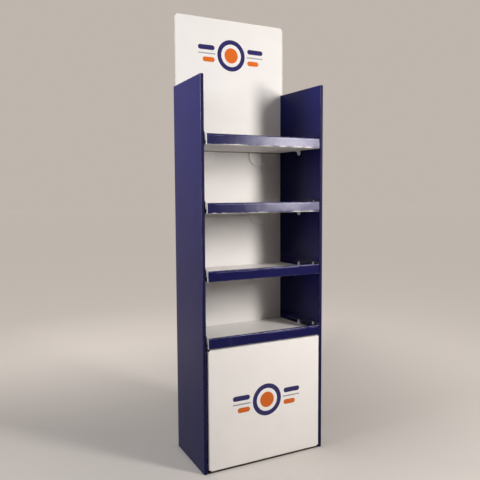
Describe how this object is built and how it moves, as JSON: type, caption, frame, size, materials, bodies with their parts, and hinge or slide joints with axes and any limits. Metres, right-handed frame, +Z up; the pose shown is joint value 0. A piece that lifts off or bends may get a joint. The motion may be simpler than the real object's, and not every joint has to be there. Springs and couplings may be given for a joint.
{
  "type": "cardboard display stand",
  "caption": "Free-standing corrugated cardboard floor display: open shelves with rolled front lips between double side walls, a tall header and a closed plinth.",
  "frame": {"origin": "on the floor, under the middle of the whole stand's box", "axes": "+Z up, the shelves face -Y, +X to the right of someone facing the back panel"},
  "size_m": [0.4678, 0.265, 1.55],
  "materials": {
    "printed_board": "navy print with a satin coat, white back and header",
    "shelf_board": "white board with navy lips, satin coat",
    "white_board": "white board, satin",
    "white_plastic": "matte"
  },
  "bodies": {
    "root": {"body_wrap": "printed_board", "shelf_1": "shelf_board", "shelf_2": "shelf_board", "shelf_3": "shelf_board", "shelf_4": "shelf_board", "plinth_panel": "white_board", "side_rivets": "white_plastic", "rear_rivets": "white_plastic", "shelf_clips": "white_plastic"}
  },
  "joints": []
}
